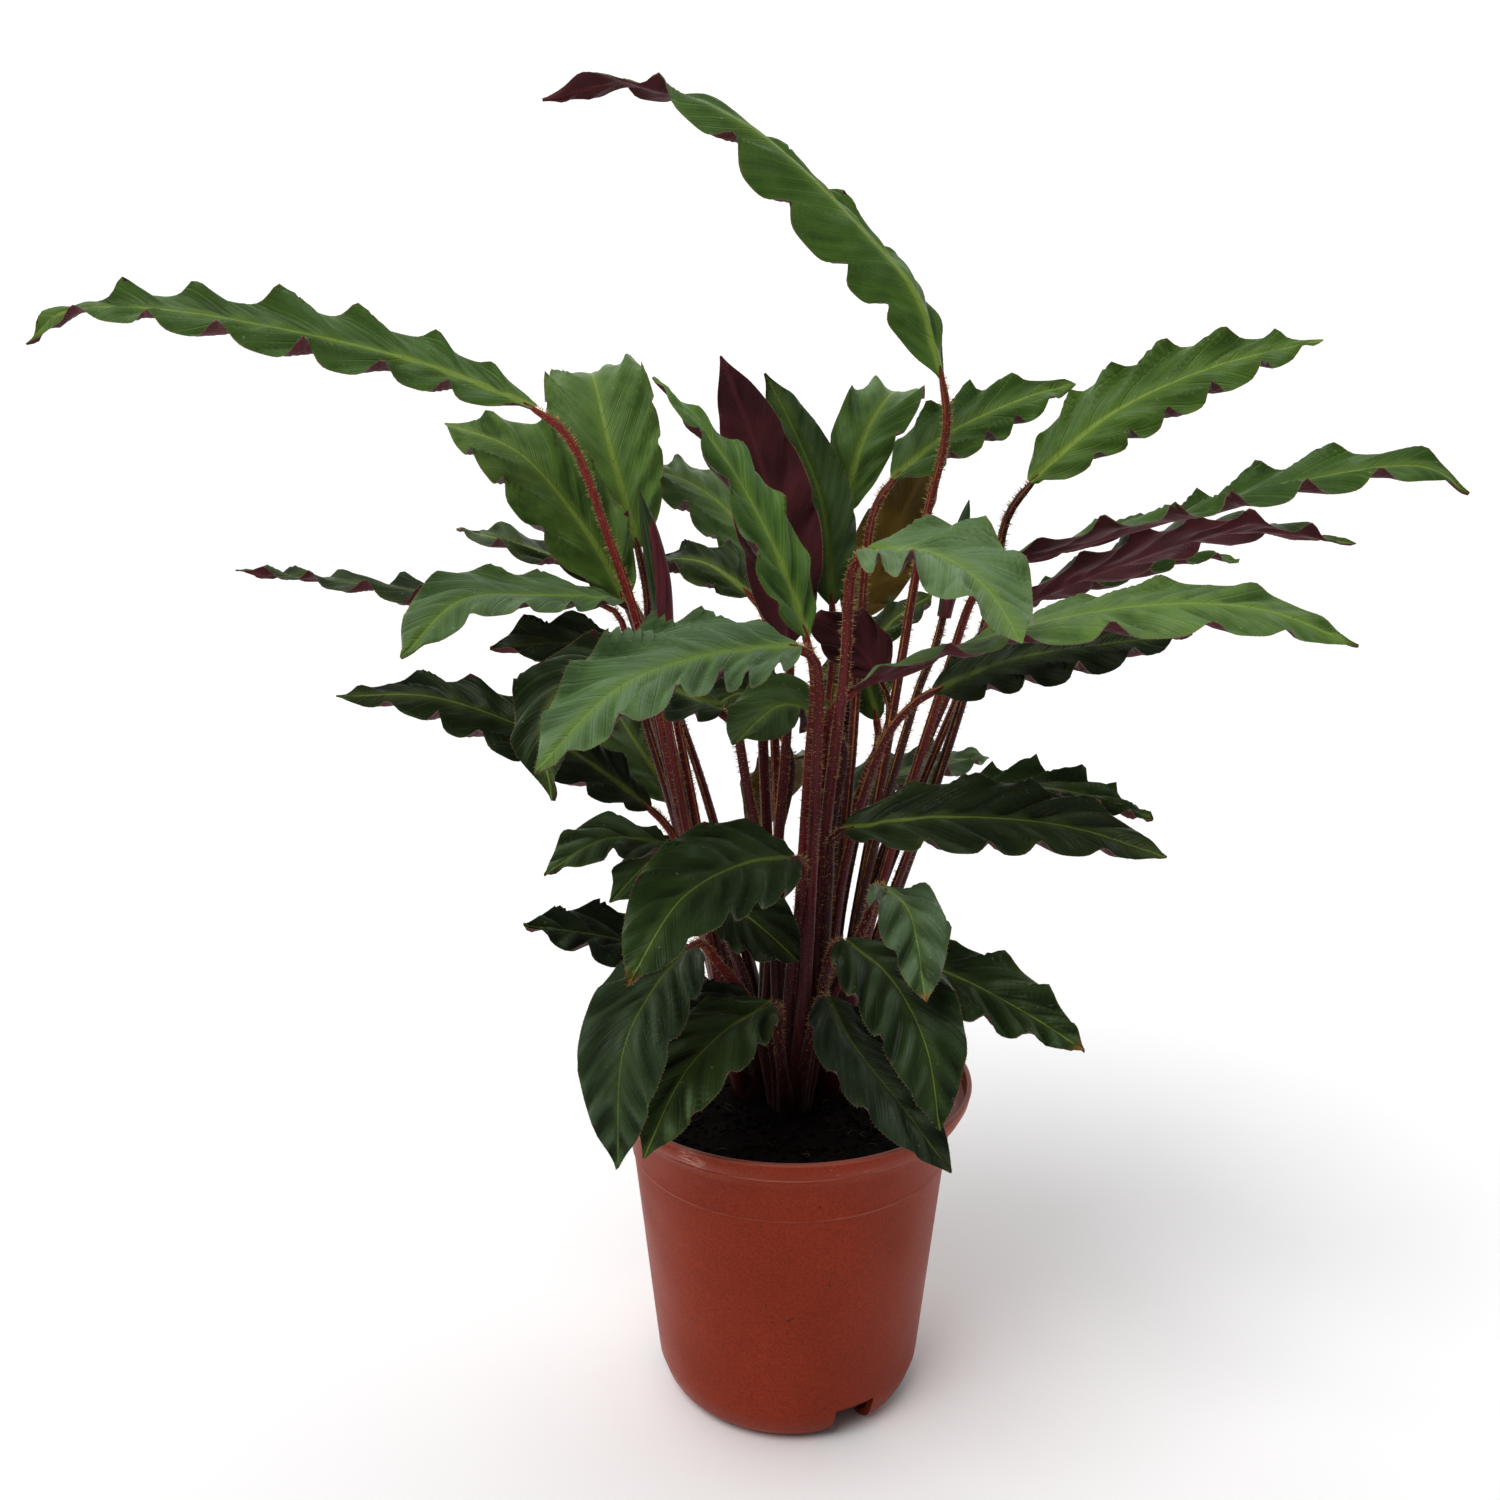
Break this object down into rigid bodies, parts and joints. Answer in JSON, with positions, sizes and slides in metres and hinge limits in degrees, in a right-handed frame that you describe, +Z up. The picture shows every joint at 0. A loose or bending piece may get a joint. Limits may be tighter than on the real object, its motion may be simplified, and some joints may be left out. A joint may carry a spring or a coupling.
{
  "type": "potted plant",
  "caption": "Potted velvet calathea: waved lance-shaped leaves, green above and burgundy below, on upright hairy stalks in a tapered nursery pot filled with soil.",
  "frame": {"origin": "centre of the flat disc in the middle of the pot's underside", "axes": "+Z up along the pot's axis, +X to the right and +Y away from the viewer in the picture"},
  "size_m": [0.5676, 0.3105, 0.5837],
  "materials": {
    "pot_plastic": "satin terracotta-coloured polypropylene, scuffed at the rim",
    "soil": "damp dark peat with a few brown fibres",
    "stalks": "red-brown plant stalk covered in short pale hairs",
    "spears": "rolled new leaf, purple with a sheen",
    "leaf_bright": "velvet, bright green above and burgundy below",
    "leaf_green": "velvet, mid green above and burgundy below",
    "leaf_dark": "velvet, dark green above and burgundy below"
  },
  "bodies": {
    "root": {"pot": "pot_plastic", "soil": "soil", "stalks_left": "stalks", "stalks_right": "stalks", "stalks_front": "stalks", "stalks_back": "stalks", "leaf_left_facing": "leaf_bright", "leaf_front_high": "leaf_bright", "leaf_front_right_high": "leaf_bright", "leaf_right_long": "leaf_bright", "leaf_middle_bright": "leaf_bright", "leaf_middle_bent": "leaf_bright", "leaf_olive_back": "leaf_bright", "leaf_olive_drop": "leaf_bright", "leaf_top_arch": "leaf_green", "leaf_left_long": "leaf_green", "leaf_left_broad": "leaf_green", "leaf_left_curled": "leaf_green", "leaf_left_back_drop": "leaf_green", "leaf_front_middle": "leaf_green", "leaf_small_left": "leaf_green", "leaf_left_bit": "leaf_green", "leaf_rim_left": "leaf_green", "leaf_rim_left_inner": "leaf_green", "leaf_rim_right": "leaf_green", "leaf_right_small": "leaf_green", "leaf_right_low": "leaf_green", "leaf_right_behind": "leaf_green", "leaf_right_back": "leaf_green", "leaf_right_upper": "leaf_green", "leaf_right_far": "leaf_green", "leaf_right_hidden": "leaf_green", "leaf_right_inner": "leaf_green", "leaf_inner_back": "leaf_green", "leaf_inner_pale": "leaf_green", "leaf_inner_green": "leaf_green", "leaf_left_behind": "leaf_dark", "leaf_left_thin": "leaf_dark", "leaf_left_under": "leaf_dark", "leaf_left_low": "leaf_dark", "leaf_front_under": "leaf_dark", "leaf_dark_left": "leaf_dark", "leaf_shade_left": "leaf_dark", "leaf_shade_middle": "leaf_dark", "leaf_rim_right_inner": "leaf_dark", "leaf_right_middle": "leaf_dark", "leaf_right_shaded": "leaf_dark", "leaf_right_burgundy": "leaf_dark", "leaf_middle_burgundy": "leaf_dark", "leaf_middle_upright": "leaf_green", "leaf_inner_small": "leaf_dark", "leaf_inner_dark": "leaf_dark", "leaf_burgundy_bit": "leaf_dark", "leaf_back_thin": "leaf_dark", "spear_left": "spears", "spear_right": "spears"}
  },
  "joints": []
}
